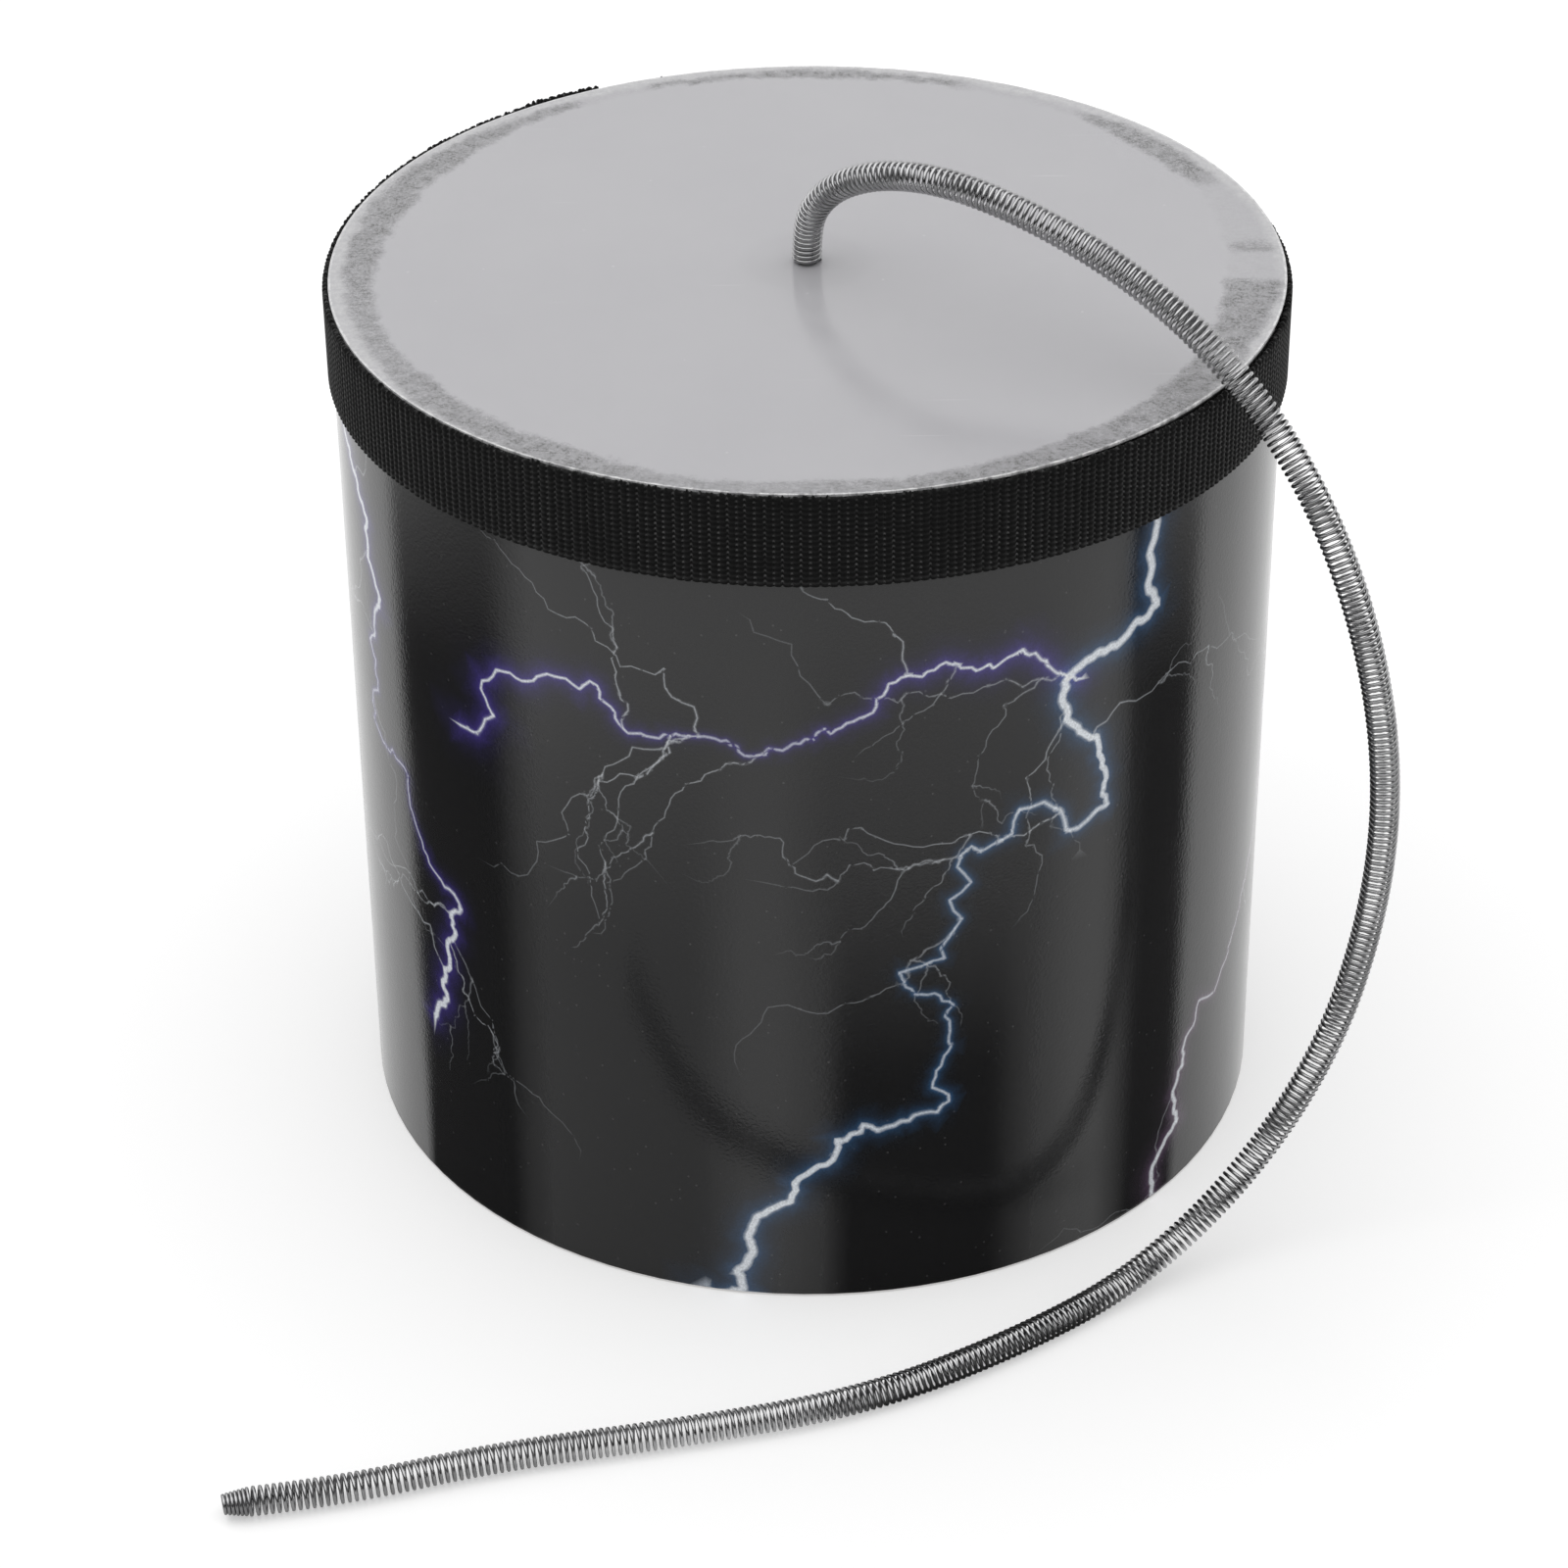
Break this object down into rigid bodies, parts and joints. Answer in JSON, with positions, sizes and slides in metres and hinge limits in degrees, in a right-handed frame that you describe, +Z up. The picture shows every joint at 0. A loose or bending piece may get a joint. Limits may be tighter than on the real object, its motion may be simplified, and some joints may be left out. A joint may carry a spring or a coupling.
{
  "type": "thunder tube",
  "caption": "Round open tube with a plastic film head under a black ribbon and a long limp coil spring fixed to the middle of the head, which rumbles like thunder when the tube is shaken.",
  "frame": {"origin": "middle of the tube's open end, on the plane that it stands on", "axes": "+Z up along the tube's axis, from the open end to the drum head; -Y towards the viewer of the picture; +X to the side where the spring hangs"},
  "size_m": [0.1524, 0.1726, 0.1443],
  "materials": {
    "card": "raw spiral-wound brown card",
    "print": "gloss laminated print, near black",
    "glue": "dried clear-grey glue",
    "film": "milky grey film with a soft gloss",
    "ribbon": "black grosgrain ribbon",
    "felt": "dark felt",
    "steel": "zinc-plated steel",
    "spring_wire": "bright nickel-plated wire"
  },
  "bodies": {
    "drum": {"tube_core": "card", "printed_sheet": "print", "head_glue": "glue", "drum_head": "film", "trim_ribbon": "ribbon", "anchor_pad": "felt"},
    "spring_assembly": {"spring": "spring_wire", "anchor_screw": "steel", "anchor_washer": "steel"}
  },
  "joints": [
    {"name": "spring_swivel", "type": "hinge", "parent": "drum", "child": "spring_assembly", "pos_m": [0, 0, 0.1245], "axis": [0, 0, 1], "continuous": true}
  ]
}
